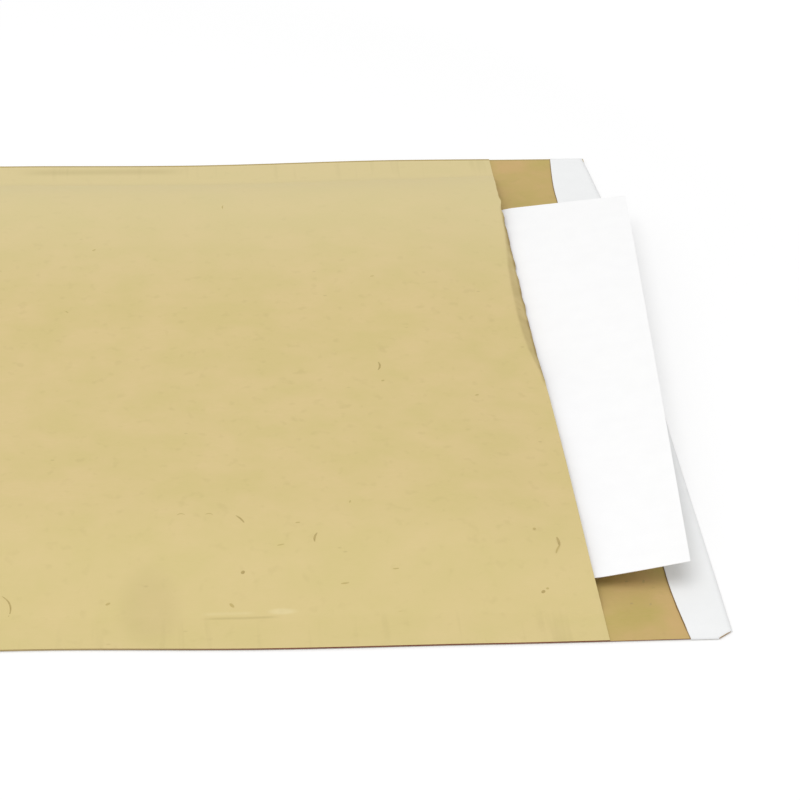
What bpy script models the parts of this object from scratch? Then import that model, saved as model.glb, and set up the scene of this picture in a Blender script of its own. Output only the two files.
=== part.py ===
"""A padded kraft envelope lying on its back, flap open, with a sheet of A4 paper showing at its mouth.

Metres, +Z up. The origin is on the underside of the back sheet, at the middle of the pocket.
The mouth and its open flap are at +X, the closed end at -X. The side seals run along both Y edges.
"""

import math

import bmesh
import bpy
import numpy as np

# The envelope, flat
POCKET_LENGTH = 0.360
POCKET_WIDTH = 0.280
KRAFT_THICKNESS = 0.00025
SEAL_WIDTH = 0.013
FOLD_BAND = 0.002
SEAL_BOND = 0.00005
EDGE_STEP = 0.0001

# The flap, measured from the mouth
FLAP_DEPTH = 0.0352
FLAP_SHOULDER_RISE = 0.0022
FLAP_SHOULDER_INSET = 0.030
FLAP_SKEW_START = 0.097
FLAP_NEAR_CHAMFER_X = 0.004
FLAP_NEAR_CHAMFER_Y = 0.003
FLAP_FAR_CORNER = 0.004

# The self-seal closure on the flap
LINER_START = 0.0210
LINER_FLARE = 0.0019
LINER_FLARE_LENGTH = 0.026
LINER_FLARE_POWER = 1.5
LINER_THICKNESS = 0.00015
ADHESIVE_THICKNESS = 0.00015
ADHESIVE_MARGIN = 0.0015

# How the filled pocket stands up from its back
CROWN_HEIGHT = 0.0105
SHOULDER_WIDTH = 0.030
END_SHOULDER_WIDTH = 0.045
SHOULDER_POWER = 2.2
CORNER_BLEND = 4.0
WAVE_HEIGHT = 0.00035
WAVE_LENGTH_X = 0.190
WAVE_LENGTH_Y = 0.115
WAVE_PHASE_X = 0.7
WAVE_PHASE_Y = -1.1

# How the filling draws the side seams in between the pocket's two ends
SIDE_DRAW = 0.0026
SIDE_DRAW_INSET = 0.015
SIDE_DRAW_REACH = 0.145

# The lip of the mouth
LIP_DROP = 0.0014
LIP_REACH = 0.040
LIP_SETBACK = 0.0022
CURL_SLOPE = 0.6
CURL_Y = (-0.022, -0.014, -0.006, 0.004, 0.016, 0.039, 0.062, 0.090)
CURL_WIDTH = (0.0, 0.0022, 0.0034, 0.0040, 0.0042, 0.0033, 0.0021, 0.0)

# The padding
PADDING_THICKNESS = 0.0016
PADDING_PINCHED = 0.00035
PADDING_TAPER = 0.045
PADDING_INSET = 0.0019
PADDING_MOUTH_SETBACK = 0.008

# The sheet of paper in the pocket
PAPER_WIDTH = 0.210
PAPER_LENGTH = 0.297
PAPER_THICKNESS = 0.0002
PAPER_TURN = math.radians(4.4)
PAPER_NEAR_REACH = 0.0268
PAPER_NEAR_INSET = 0.0219
PAPER_BEND_START = -0.012
PAPER_BEND_END = 0.040
PAPER_LIFT = 0.010

# Fit between neighbouring pieces, and the fineness of the surfaces
GAP = 0.0003
WELD = 0.00001
SHOULDER_STEPS = 6
END_STEPS = 9
ACROSS_STEPS = 10
ALONG_STEPS = 14
LIP_STEPS = 9
PAPER_FLAT_STEPS = 6
PAPER_BEND_STEPS = 24
PAPER_ROWS = 6
PAPER_SAMPLES = 400
FLARE_POINTS = 8

# Where the pieces lie, worked out from the sizes above
MOUTH_X = POCKET_LENGTH / 2
CLOSED_X = -POCKET_LENGTH / 2
SIDE_DRAW_START = MOUTH_X - SIDE_DRAW_INSET
SIDE_Y = POCKET_WIDTH / 2
SEAL_Y = SIDE_Y - SEAL_WIDTH
SEAL_TOP = 2 * KRAFT_THICKNESS - SEAL_BOND
PADDING_FLOOR = KRAFT_THICKNESS + GAP
PAPER_FLOOR = PADDING_FLOOR + PADDING_THICKNESS + GAP
ADHESIVE_FLOOR = KRAFT_THICKNESS + GAP
LINER_FLOOR = ADHESIVE_FLOOR + ADHESIVE_THICKNESS + GAP

# Each finish as a name, a linear colour and a roughness
KRAFT = ("kraft_paper", (0.69, 0.54, 0.27), 0.85)
PADDING = ("bubble_film", (0.80, 0.83, 0.85), 0.45)
ADHESIVE = ("adhesive_film", (0.85, 0.80, 0.62), 0.35)
LINER = ("silicone_paper", (0.87, 0.89, 0.90), 0.40)
PAPER = ("office_paper", (0.95, 0.95, 0.95), 0.80)


def clear_scene():
    for thing in list(bpy.data.objects):
        bpy.data.objects.remove(thing, do_unlink=True)


def new_collection(name):
    collection = bpy.data.collections.new(name)
    bpy.context.scene.collection.children.link(collection)
    return collection


def move_to(thing, collection):
    for old in list(thing.users_collection):
        old.objects.unlink(thing)
    collection.objects.link(thing)


def paint(piece, finish):
    name, colour, roughness = finish
    made = bpy.data.materials.new(name)
    made.use_nodes = True
    shader = made.node_tree.nodes["Principled BSDF"]
    shader.inputs["Base Color"].default_value = (*colour, 1.0)
    shader.inputs["Roughness"].default_value = roughness
    shader.inputs["Metallic"].default_value = 0.0
    piece.data.materials.append(made)


def smooth_step(share):
    share = min(max(share, 0.0), 1.0)
    return share * share * (3.0 - 2.0 * share)


def share_of(distance, width):
    return min(max(distance / width, 0.0), 1.0)


# The form of the filled pocket


def seam_distances(x, y):
    """How far a point of the panel lies inside the side seals and inside the fold of the closed end."""
    return SEAL_Y - abs(y), x - (CLOSED_X + FOLD_BAND)


def crown_share(x, y):
    """0 on the seams and 1 on the open panel, rising steeply at first and rounded at the corners."""
    from_side, from_end = seam_distances(x, y)
    side = share_of(from_side, SHOULDER_WIDTH)
    end = share_of(from_end, END_SHOULDER_WIDTH)
    if min(side, end) <= 0.0:
        return 0.0
    both = (side**-CORNER_BLEND + end**-CORNER_BLEND) ** (-1.0 / CORNER_BLEND)
    return 1.0 - (1.0 - both) ** SHOULDER_POWER


def waves(x, y):
    """The soft swell of a padded panel, as a height."""
    along = math.sin(2.0 * math.pi * x / WAVE_LENGTH_X + WAVE_PHASE_X)
    across = math.sin(2.0 * math.pi * y / WAVE_LENGTH_Y + WAVE_PHASE_Y)
    return WAVE_HEIGHT * (0.5 * along + across)


def lip_curl(x, y):
    """How far the far half of the lip turns down, over a width that swells and dies away along it."""
    width = float(np.interp(y, CURL_Y, CURL_WIDTH))
    return CURL_SLOPE * max(width - (MOUTH_X - x), 0.0)


def panel_height(x, y):
    """The outside of the front panel above the floor."""
    lip_drop = LIP_DROP * (1.0 - smooth_step((MOUTH_X - x) / LIP_REACH))
    crown = CROWN_HEIGHT - lip_drop + waves(x, y) - lip_curl(x, y)
    return SEAL_TOP + crown * crown_share(x, y)


def kept_width(x):
    """The share of its flat width that the pocket keeps where the filling has drawn its sides in."""
    return 1.0 - SIDE_DRAW / SIDE_Y * smooth_step((SIDE_DRAW_START - abs(x)) / SIDE_DRAW_REACH)


def padding_share(x, y):
    """The padding's thickness as a share of its full one: it is pinched flat along the seams."""
    inside = min(seam_distances(x, y)) - PADDING_INSET
    pinched = PADDING_PINCHED / PADDING_THICKNESS
    return pinched + (1.0 - pinched) * smooth_step(inside / PADDING_TAPER)


def padding_top(x, y):
    return panel_height(x, y) - KRAFT_THICKNESS - GAP


def paper_height(x):
    """The underside of the sheet: flat on the padding, then bent up as it leaves the mouth."""
    out = x - MOUTH_X - PAPER_BEND_START
    return PAPER_FLOOR + PAPER_LIFT * smooth_step(out / (PAPER_BEND_END - PAPER_BEND_START))


# Building tools


def evenly(low, high, steps):
    return [low + (high - low) * i / steps for i in range(steps + 1)]


def panel_rows():
    """Stations across the pocket between its seals, close together on the shoulders. All plies share them."""
    edge, inner = SEAL_Y - PADDING_INSET, SEAL_Y - SHOULDER_WIDTH
    near = [-SEAL_Y, *evenly(-edge, -inner, SHOULDER_STEPS)]
    return near + evenly(-inner, inner, ACROSS_STEPS)[1:-1] + [-y for y in reversed(near)]


def panel_columns():
    """Stations along the pocket from its fold to its lip, where they close up. All plies share them."""
    start = CLOSED_X + FOLD_BAND
    shoulder = evenly(start + PADDING_INSET, start + END_SHOULDER_WIDTH, END_STEPS)
    middle = evenly(shoulder[-1], MOUTH_X - LIP_REACH, ALONG_STEPS)[1:]
    lip = [MOUTH_X - LIP_REACH * (1.0 - i / LIP_STEPS) ** 2 for i in range(1, LIP_STEPS + 1)]
    return [start] + shoulder + middle + lip


def grid_surface(name, columns, rows, place):
    """A grid primitive whose points are put at place(column, row)."""
    bpy.ops.mesh.primitive_grid_add(
        x_subdivisions=len(columns) - 1, y_subdivisions=len(rows) - 1, size=2.0, location=(0, 0, 0)
    )
    surface = bpy.context.object
    surface.name = surface.data.name = name
    for vertex in surface.data.vertices:
        column = round((vertex.co.x + 1.0) / 2.0 * (len(columns) - 1))
        row = round((vertex.co.y + 1.0) / 2.0 * (len(rows) - 1))
        vertex.co = place(columns[column], rows[row])
    surface.data.shade_smooth()
    return surface


def thicken(surface, thickness, offset):
    """Gives an open surface its thickness: offset -1 puts it below, 1 above."""
    triangulate = surface.modifiers.new("corner_ridges", "TRIANGULATE")
    triangulate.quad_method = "LONGEST_DIAGONAL"
    solidify = surface.modifiers.new("thickness", "SOLIDIFY")
    solidify.thickness = thickness
    solidify.offset = offset
    return solidify


def pinch(surface, solidify, share):
    """Thins a thickened surface by share(x, y), through a vertex group."""
    group = surface.vertex_groups.new(name="padding")
    for vertex in surface.data.vertices:
        group.add([vertex.index], share(vertex.co.x, vertex.co.y), "REPLACE")
    solidify.vertex_group = group.name


def flat_piece(name, outline, floor, thickness):
    """A flat piece cut to an outline, from a filled and extruded 2D curve, as a mesh."""
    curve = bpy.data.curves.new(name, "CURVE")
    curve.dimensions = "2D"
    curve.fill_mode = "BOTH"
    curve.extrude = thickness / 2.0
    spline = curve.splines.new("POLY")
    spline.points.add(len(outline) - 1)
    for point, (x, y) in zip(spline.points, outline):
        point.co = (x, y, 0.0, 1.0)
    spline.use_cyclic_u = True
    drawn = bpy.data.objects.new(name, curve)
    drawn.location.z = floor + thickness / 2.0
    bpy.context.scene.collection.objects.link(drawn)
    bpy.context.view_layer.update()
    graph = bpy.context.evaluated_depsgraph_get()
    mesh = bpy.data.meshes.new_from_object(drawn.evaluated_get(graph))
    cut = bmesh.new()
    cut.from_mesh(mesh)
    bmesh.ops.remove_doubles(cut, verts=cut.verts, dist=WELD)
    bmesh.ops.recalc_face_normals(cut, faces=cut.faces)
    cut.to_mesh(mesh)
    cut.free()
    placed = drawn.matrix_world.copy()
    bpy.data.objects.remove(drawn)
    piece = bpy.data.objects.new(name, mesh)
    piece.matrix_world = placed
    bpy.context.scene.collection.objects.link(piece)
    return piece


def bond(piece, other, cutters):
    """Joins another solid to a piece, and keeps that solid hidden."""
    union = piece.modifiers.new("bond", "BOOLEAN")
    union.operation = "UNION"
    union.solver = "EXACT"
    union.object = other
    move_to(other, cutters)
    other.hide_render = True
    other.display_type = "WIRE"


# The pieces


def flap_edge():
    """The flap's outer edge from its near side to its far side, with both corners cut."""
    outer = MOUTH_X + FLAP_DEPTH
    return [
        (outer - FLAP_NEAR_CHAMFER_X, -SIDE_Y),
        (outer, -SIDE_Y + FLAP_NEAR_CHAMFER_Y),
        (outer, -SIDE_Y + FLAP_SKEW_START),
        (outer + FLAP_SHOULDER_RISE, SIDE_Y - FLAP_SHOULDER_INSET),
        (outer, SIDE_Y - FLAP_FAR_CORNER),
        (outer, SIDE_Y),
    ]


def make_cover(cutters):
    """One sheet of kraft: the back with its flap, and the front panel sealed to it along three sides."""
    side = SIDE_Y - EDGE_STEP
    rows = [-side, *panel_rows(), side]
    columns = [CLOSED_X, *panel_columns()]

    def place(x, y):
        toward_lip = smooth_step(1.0 - (MOUTH_X - x) / LIP_REACH)
        setback = LIP_SETBACK * toward_lip * crown_share(x, y)
        return (x - setback, y * kept_width(x), panel_height(x, y))

    front = grid_surface("kraft_cover", columns, rows, place)
    thicken(front, KRAFT_THICKNESS, -1.0)
    far_side = [(x, SIDE_Y * kept_width(x)) for x in columns if abs(x) < SIDE_DRAW_START]
    far_side = [(CLOSED_X, SIDE_Y), *far_side]
    outline = [(x, -y) for x, y in far_side] + flap_edge() + far_side[::-1]
    back = flat_piece("back_sheet", outline, 0.0, KRAFT_THICKNESS)
    bond(front, back, cutters)
    return front


def make_padding(cutters):
    """A bag of padding inside the cover: two plies joined along their pinched edges, open at the mouth."""
    rows = panel_rows()[1:-1]
    end = MOUTH_X - PADDING_MOUTH_SETBACK
    columns = [x for x in panel_columns()[1:] if x < end] + [end]

    def front_place(x, y):
        return (x, y * kept_width(x), padding_top(x, y))

    def back_place(x, y):
        return (x, y * kept_width(x), PADDING_FLOOR)

    def share(x, y):
        return padding_share(x, y / kept_width(x))

    front = grid_surface("padded_lining", columns, rows, front_place)
    pinch(front, thicken(front, PADDING_THICKNESS, -1.0), share)
    back = grid_surface("back_ply", columns, rows, back_place)
    pinch(back, thicken(back, PADDING_THICKNESS, 1.0), share)
    bond(front, back, cutters)
    return front


def make_adhesive():
    """The sticky film on the flap, a little narrower than the strip that covers it."""
    outer = MOUTH_X + FLAP_DEPTH - ADHESIVE_MARGIN
    inner = MOUTH_X + LINER_START + LINER_FLARE + ADHESIVE_MARGIN
    side = SIDE_Y - FLAP_NEAR_CHAMFER_Y - ADHESIVE_MARGIN
    outline = [(inner, -side), (outer, -side), (outer, side), (inner, side)]
    return flat_piece("adhesive_strip", outline, ADHESIVE_FLOOR, ADHESIVE_THICKNESS)


def make_liner():
    """The peel-off strip over the adhesive, cut with the flap's corners, its inner edge flaring at both ends."""
    inner = MOUTH_X + LINER_START

    def flare(y):
        inside = SIDE_Y - abs(y)
        return LINER_FLARE * (1.0 - share_of(inside, LINER_FLARE_LENGTH)) ** LINER_FLARE_POWER

    steps = [SIDE_Y - LINER_FLARE_LENGTH * i / FLARE_POINTS for i in range(FLARE_POINTS + 1)]
    inner_edge = [(inner + flare(y), y) for y in steps + [-y for y in reversed(steps)]]
    return flat_piece("release_liner", flap_edge() + inner_edge, LINER_FLOOR, LINER_THICKNESS)


def make_paper():
    """A flat A4 rectangle, turned a little in the pocket and bent up where it leaves the mouth."""
    samples = np.linspace(PAPER_BEND_START, 2.0 * PAPER_BEND_END, PAPER_SAMPLES)
    heights = [paper_height(MOUTH_X + x) for x in samples]
    steps = np.hypot(np.diff(samples), np.diff(heights))
    lengths = PAPER_BEND_START + np.concatenate([[0.0], np.cumsum(steps)])
    cos_turn, sin_turn = math.cos(PAPER_TURN), math.sin(PAPER_TURN)

    def place(along, across):
        """along runs back from the free edge, across runs from the near corner of that edge."""
        flat_x = PAPER_NEAR_REACH - along * cos_turn + across * sin_turn
        y = -SIDE_Y + PAPER_NEAR_INSET + along * sin_turn + across * cos_turn
        bent_x = flat_x if flat_x < PAPER_BEND_START else float(np.interp(flat_x, lengths, samples))
        x = MOUTH_X + bent_x
        return (x, y, paper_height(x))

    bend_length = PAPER_NEAR_REACH + PAPER_WIDTH * sin_turn - PAPER_BEND_START
    flat = evenly(PAPER_LENGTH, bend_length, PAPER_FLAT_STEPS)
    bend = evenly(bend_length, 0.0, PAPER_BEND_STEPS)
    rows = evenly(0.0, PAPER_WIDTH, PAPER_ROWS)
    sheet = grid_surface("letter_sheet", flat[:-1] + bend, rows, place)
    thicken(sheet, PAPER_THICKNESS, 1.0)
    return sheet


def main():
    clear_scene()
    envelope = new_collection("padded_envelope")
    cutters = new_collection("joined_plies")
    pieces = [
        (make_cover(cutters), KRAFT),
        (make_padding(cutters), PADDING),
        (make_adhesive(), ADHESIVE),
        (make_liner(), LINER),
        (make_paper(), PAPER),
    ]
    for piece, finish in pieces:
        paint(piece, finish)
        move_to(piece, envelope)


main()
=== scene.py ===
"""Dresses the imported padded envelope: kraft cover, bubble lining, peel-off closure, letter sheet and a plain stage.

Metres, +Z up, in the part's own frame: the origin is under the middle of the pocket, the mouth and its open
flap are at +X, the closed end at -X, and the side seals run along both Y edges.
"""

import math

import bmesh
import bpy
from mathutils import Matrix, Vector, noise


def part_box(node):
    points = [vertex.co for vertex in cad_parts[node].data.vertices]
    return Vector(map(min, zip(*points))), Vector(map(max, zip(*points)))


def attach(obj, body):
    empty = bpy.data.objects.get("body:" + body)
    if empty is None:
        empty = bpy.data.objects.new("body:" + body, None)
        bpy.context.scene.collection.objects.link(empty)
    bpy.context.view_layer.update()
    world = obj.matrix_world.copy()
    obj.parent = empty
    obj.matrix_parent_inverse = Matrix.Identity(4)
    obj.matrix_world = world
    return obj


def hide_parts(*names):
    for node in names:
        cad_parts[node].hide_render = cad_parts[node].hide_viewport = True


bl_info = {
    "name": "Padded envelope",
    "version": (1, 0, 0),
    "blender": (4, 5, 0),
    "location": "3D View > Sidebar > Envelope",
    "description": "Makes the paper, film and stage of a padded kraft envelope over its packed model",
    "category": "Object",
}

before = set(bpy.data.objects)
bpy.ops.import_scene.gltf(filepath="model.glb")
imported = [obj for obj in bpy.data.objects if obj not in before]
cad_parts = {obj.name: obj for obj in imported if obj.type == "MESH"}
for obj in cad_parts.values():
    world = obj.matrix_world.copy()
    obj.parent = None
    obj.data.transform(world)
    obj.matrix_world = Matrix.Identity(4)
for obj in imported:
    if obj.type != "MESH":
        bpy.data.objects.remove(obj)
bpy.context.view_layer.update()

# The flat envelope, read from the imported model
COVER_LOW, COVER_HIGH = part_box("kraft_cover")
LINING_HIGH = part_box("padded_lining")[1]
CLOSED_X = COVER_LOW.x
MOUTH_X = -COVER_LOW.x
SIDE_Y = COVER_HIGH.y
LINING_END_X = LINING_HIGH.x

# Seams and fold
SEAL_WIDTH = 0.013
SEAL_Y = SIDE_Y - SEAL_WIDTH
FOLD_BAND = 0.002
SEAL_TOP = 0.00054
# Width of the band along the far edge that is painted darker as painted shade, also where the first rows in from both
# side edges lie
EDGE_SHADE_BAND = 0.0008

# The flap's outer edge as (Y, distance past the mouth)
FLAP_EDGE = (
    (-SIDE_Y, 0.0312),
    (-SIDE_Y + 0.003, 0.0352),
    (-0.043, 0.0352),
    (0.110, 0.0374),
    (SIDE_Y - 0.004, 0.0352),
    (SIDE_Y, 0.0352),
)
FLAP_LIFT = 0.00022
FLAP_LIFT_REACH = 0.030
FLAP_SWELL = 0.045

# The closure on it: where the strip starts past the mouth, and the heights that its layers lie at
LINER_START = 0.0210
LINER_FLARE = 0.0019
LINER_FLARE_LENGTH = 0.026
LINER_FLARE_POWER = 1.5
KRAFT_TOP = 0.00026
ADHESIVE_FLOOR = 0.00028
LINER_FLOOR = 0.00042
LINER_RIPPLE = 0.00008
LINER_RIPPLE_LENGTH = 0.030
GLUE_THICKNESS = 0.0001
OVERHANG_FLOOR = 0.00002
# The dark glue-coloured line beside the strip, painted as its shadow line: its height, the length over which its
# width wavers, and how far it tucks under the strip
SHADOW_LINE_TOP = 0.00004
SHADOW_LINE_WAVER = 0.004
SHADOW_LINE_TUCK = 0.0001

# Distances from the strip's side and outer edges over which its corners are cut and it lies up on the adhesive
CORNER_START = 0.0018
CORNER_EASE = 0.0012
GLUE_START = 0.002
GLUE_EASE = 0.004
GLUE_EDGE_EASE = 0.002

# How the pocket stands up from its back
SHOULDER_WIDTH = 0.034
END_SHOULDER_WIDTH = 0.047
SHOULDER_POWER = 1.9
SHOULDER_EASE = 0.1
LIP_SHOULDER_WIDTH = 0.030
LIP_SHOULDER_POWER = 2.2
CORNER_BLEND = 4.0
LIP_REACH = 0.040
LIP_BAND = 0.007

# Long waves of the panel, and the lengths of its soft dents
WAVE_HEIGHT = 0.00035
WAVE_LENGTH_X = 0.190
WAVE_LENGTH_Y = 0.115
WAVE_START_X = 0.7
WAVE_START_Y = -1.1
DENT_LENGTH = 0.034
SMALL_DENT_LENGTH = 0.015

# Gathers: their distance from the seal, how far they spread from there, and their lengths
GATHER_PLACE = 0.006
GATHER_SPREAD = 0.011
GATHER_LENGTH = 0.011
SMALL_GATHER_LENGTH = 0.0047
END_GATHER_PLACE = 0.009
END_GATHER_SPREAD = 0.014
END_GATHER_LENGTH = 0.013

# How the filling draws the side seams in between the pocket's two ends
SIDE_DRAW = 0.0028
SIDE_DRAW_START = 0.165
SIDE_DRAW_REACH = 0.145

# A slight sway of both side seams to the near side, halfway along
SWAY = 0.0012
SWAY_X = 0.078
SWAY_REACH = 0.068

# The width of the lip that rolls down, as (Y, width), and how ragged its edge is
ROLL = (
    (-0.022, 0.0),
    (-0.014, 0.0014),
    (-0.006, 0.0027),
    (0.004, 0.0039),
    (0.016, 0.0044),
    (0.039, 0.0042),
    (0.062, 0.0027),
    (0.080, 0.0013),
    (0.093, 0.0),
)
ROLL_SLOPE = 0.58
ROLL_POWER = 1.35
LIP_EDGE = MOUTH_X - 0.0017
RAG_LENGTH = 0.0052
RAG_POWER = 16
RAG_START = -0.030
RAG_EASE = 0.020

# The letter sheet: the swell that fills the mouth, and how it leaves the padding at its near and far edge
SWELL = (
    (-0.118, 0.0),
    (-0.108, 0.0013),
    (-0.098, 0.0022),
    (-0.084, 0.0026),
    (-0.034, 0.0024),
    (-0.022, 0.0017),
    (-0.014, 0.0008),
    (-0.006, 0.0002),
    (0.024, 0.0002),
    (0.050, 0.0009),
    (0.068, 0.0011),
    (0.082, 0.0006),
    (0.091, 0.0),
)
SWELL_START = -0.014
SWELL_TOP = -0.003
SWELL_END = 0.025
DIP_START = -0.010
DIP_END = 0.003
NEAR_STEP = 0.00183
NEAR_SLOPE = 0.276
FAR_STEP = 0.00311
FAR_SLOPE = 0.164
BEND_STEP = 0.0005
BEND_MARGIN = 0.002

# Fibres and splinters in the kraft, as (X, Y, turn in degrees, length, width, bow as a share of the length)
DARK_FIBRES = (
    (0.1254, -0.0136, 84, 0.0048, 0.00062, -0.12),
    (0.0788, -0.0934, -55, 0.0040, 0.00056, 0.05),
    (0.1002, -0.1016, 75, 0.0036, 0.00062, 0.10),
    (0.0789, -0.1128, 30, 0.0012, 0.00095, 0.0),
    (0.1701, -0.1035, -85, 0.0037, 0.00068, 0.04),
    (0.1637, -0.1209, 20, 0.0012, 0.00085, 0.0),
    (0.0126, -0.1202, -72, 0.0062, 0.00046, 0.23),
)
PALE_FIBRES = (
    (0.1696, -0.1066, 65, 0.0036, 0.00050, 0.03),
    (0.1650, -0.1200, 10, 0.0008, 0.00060, 0.0),
    (0.1638, -0.0984, 40, 0.0009, 0.00075, 0.0),
    (0.1262, -0.0221, 30, 0.0011, 0.00080, 0.0),
    (0.1223, -0.1127, 4, 0.0019, 0.00036, 0.0),
    (0.1232, -0.1247, 8, 0.0032, 0.00040, -0.07),
    (0.1111, -0.0860, 70, 0.0012, 0.00055, 0.0),
    (0.0755, -0.1221, -40, 0.0016, 0.00080, 0.0),
    (0.1076, -0.1167, 6, 0.0024, 0.00042, 0.0),
    (0.0410, -0.1204, 20, 0.0014, 0.00060, 0.0),
    (0.0953, -0.0954, 5, 0.0014, 0.00045, 0.0),
    (0.0900, -0.1041, 12, 0.0021, 0.00040, 0.0),
    (0.0619, -0.0912, 4, 0.0023, 0.00038, 0.26),
    (0.0700, -0.0912, -4, 0.0023, 0.00034, 0.22),
    (0.0356, 0.0588, 40, 0.0014, 0.00060, 0.0),
    (0.0798, 0.0884, 85, 0.0024, 0.00040, 0.08),
    (0.1279, 0.0403, 15, 0.0015, 0.00045, 0.0),
    (0.0273, 0.0200, -50, 0.0014, 0.00050, 0.0),
    (0.1550, -0.0299, 30, 0.0014, 0.00050, 0.0),
    (-0.0420, 0.0402, -24, 0.0028, 0.00045, 0.10),
    (-0.0860, -0.0534, 58, 0.0016, 0.00060, 0.0),
    (-0.1210, 0.0777, 12, 0.0030, 0.00040, -0.12),
    (-0.0630, -0.0207, 82, 0.0014, 0.00060, 0.0),
    (-0.1480, -0.0060, -64, 0.0024, 0.00045, 0.06),
)
FLAP_SPECKS = (
    (0.1891, -0.1136, 35, 0.0009, 0.00070, 0.0),
    (0.1940, -0.1138, 75, 0.0014, 0.00075, 0.0),
    (0.1889, -0.1237, 10, 0.0010, 0.00070, 0.0),
    (0.1942, -0.1243, 70, 0.0011, 0.00070, 0.0),
)
FIBRE_TOP = 0.00002

# The bubble lining's film, and how far its first bubble stays inside the open end
FILM = 0.00012
FIRST_BUBBLE = 0.0055

# The stage
FLOOR_Z = -0.0003
WHITE = (1.0, 1.0, 1.0, 1.0)
KEY_PLACE = (-0.25, -0.50, 1.65)
KEY_SIZE = 1.5
CAMERA_PLACE = (0.05445, -0.67165, 0.44099)
CAMERA_RIGHT = Vector((0.995006, -0.090970, 0.041000))
CAMERA_DOWN = Vector((-0.016799, -0.557747, -0.829840))
CAMERA_FORWARD = Vector((0.098353, 0.825007, -0.556490))


def linear(hex_colour):
    """An sRGB hex colour as the linear, opaque colour that the shader takes."""
    parts = [int(hex_colour[i : i + 2], 16) / 255.0 for i in (1, 3, 5)]
    return (*(c / 12.92 if c <= 0.04045 else ((c + 0.055) / 1.055) ** 2.4 for c in parts), 1.0)


def smooth_step(share):
    share = min(max(share, 0.0), 1.0)
    return share * share * (3.0 - 2.0 * share)


def share_of(distance, width):
    return min(max(distance / width, 0.0), 1.0)


def mixed(first, second, share):
    return first + (second - first) * share


def between(stations, at):
    """Reads a value off a short list of stations, as (place, value), straight from one to the next."""
    if at <= stations[0][0]:
        return stations[0][1]
    for (low, first), (high, second) in zip(stations, stations[1:]):
        if at <= high:
            return mixed(first, second, (at - low) / (high - low))
    return stations[-1][1]


def evenly(low, high, steps):
    return [low + (high - low) * i / steps for i in range(steps + 1)]


def wander(x, y, scale, seed):
    """Smooth noise from -1 to 1 over the flat sheet, with one swell every scale metres."""
    return noise.noise(Vector((x / scale, y / scale, seed)))


# The form of the filled pocket


def eased(share, ease):
    """Starts a slope from the flat seam without a crease."""
    return (math.hypot(share, ease) - ease) / (math.hypot(1.0, ease) - ease)


def crown_share(x, y):
    """How much of the crown's height the panel has, from 0 on the seals to 1 past the shoulders."""
    firm = smooth_step(1.0 - (MOUTH_X - x) / LIP_REACH)
    ease = SHOULDER_EASE * (1.0 - firm)
    side = eased(share_of(SEAL_Y - abs(y), mixed(SHOULDER_WIDTH, LIP_SHOULDER_WIDTH, firm)), ease)
    end = eased(share_of(x - CLOSED_X - FOLD_BAND, END_SHOULDER_WIDTH), SHOULDER_EASE)
    if min(side, end) <= 0.0:
        return 0.0
    both = (side**-CORNER_BLEND + end**-CORNER_BLEND) ** (-1.0 / CORNER_BLEND)
    return 1.0 - (1.0 - min(both, 1.0)) ** mixed(SHOULDER_POWER, LIP_SHOULDER_POWER, firm)


def lip_roll(x, y):
    """How far down the far half of the lip rolls at one place."""
    width = between(ROLL, y)
    from_edge = MOUTH_X - x
    if width <= 0.0 or from_edge >= width:
        return 0.0
    return ROLL_SLOPE * width * ((width - from_edge) / width) ** ROLL_POWER


def seam_pucker(x, y, sizes):
    """Short gathers that run up from the side seals and the closed end, and die away on the panel."""
    near_side = y < 0
    large = wander(x, 0.0, GATHER_LENGTH, seed=3.1 if near_side else 7.7)
    small = wander(x, 0.0, SMALL_GATHER_LENGTH, seed=5.3 if near_side else 1.9)
    near_seam = math.exp(-((SEAL_Y - abs(y) - GATHER_PLACE) / GATHER_SPREAD) ** 2)
    near_end = math.exp(-((x - CLOSED_X - FOLD_BAND - END_GATHER_PLACE) / END_GATHER_SPREAD) ** 2)
    end = wander(0.0, y, END_GATHER_LENGTH, seed=2.2)
    return sizes.pucker * ((large + 0.6 * small) * near_seam + end * near_end)


def panel_height(x, y, sizes):
    """The outside of the front panel above the floor."""
    lip_drop = sizes.lip_drop * (1.0 - smooth_step((MOUTH_X - x) / LIP_REACH))
    along = 0.5 * math.sin(2.0 * math.pi * x / WAVE_LENGTH_X + WAVE_START_X)
    waves = WAVE_HEIGHT * (along + math.sin(2.0 * math.pi * y / WAVE_LENGTH_Y + WAVE_START_Y))
    share = crown_share(x, y)
    rise = (sizes.crown - lip_drop + waves - lip_roll(x, y)) * share
    dents = wander(x, y, DENT_LENGTH, seed=11.0) + 0.5 * wander(x, y, SMALL_DENT_LENGTH, seed=4.0)
    return SEAL_TOP + rise + sizes.dent * dents * smooth_step(share * 1.4) + seam_pucker(x, y, sizes)


def kept_width(x):
    """The share of its flat width that the pocket keeps where the filling has drawn its sides in."""
    return 1.0 - SIDE_DRAW / SIDE_Y * smooth_step((SIDE_DRAW_START - abs(x)) / SIDE_DRAW_REACH)


def sway(x):
    return -SWAY * smooth_step(1.0 - abs(x - SWAY_X) / SWAY_REACH)


def drawn_in(x, y):
    """Where a point of the flat pocket lies across it, once the pocket is filled."""
    return y * kept_width(x) + sway(x)


def liner_start(y):
    inside = SIDE_Y - abs(y)
    return LINER_START + LINER_FLARE * (1.0 - share_of(inside, LINER_FLARE_LENGTH)) ** LINER_FLARE_POWER


def flap_lift(x, y):
    """The flap lies on the table, all but flat."""
    out = share_of(x - MOUTH_X, FLAP_LIFT_REACH)
    return FLAP_LIFT * out * (0.5 + 0.5 * wander(x, y, FLAP_SWELL, seed=9.0))


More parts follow.
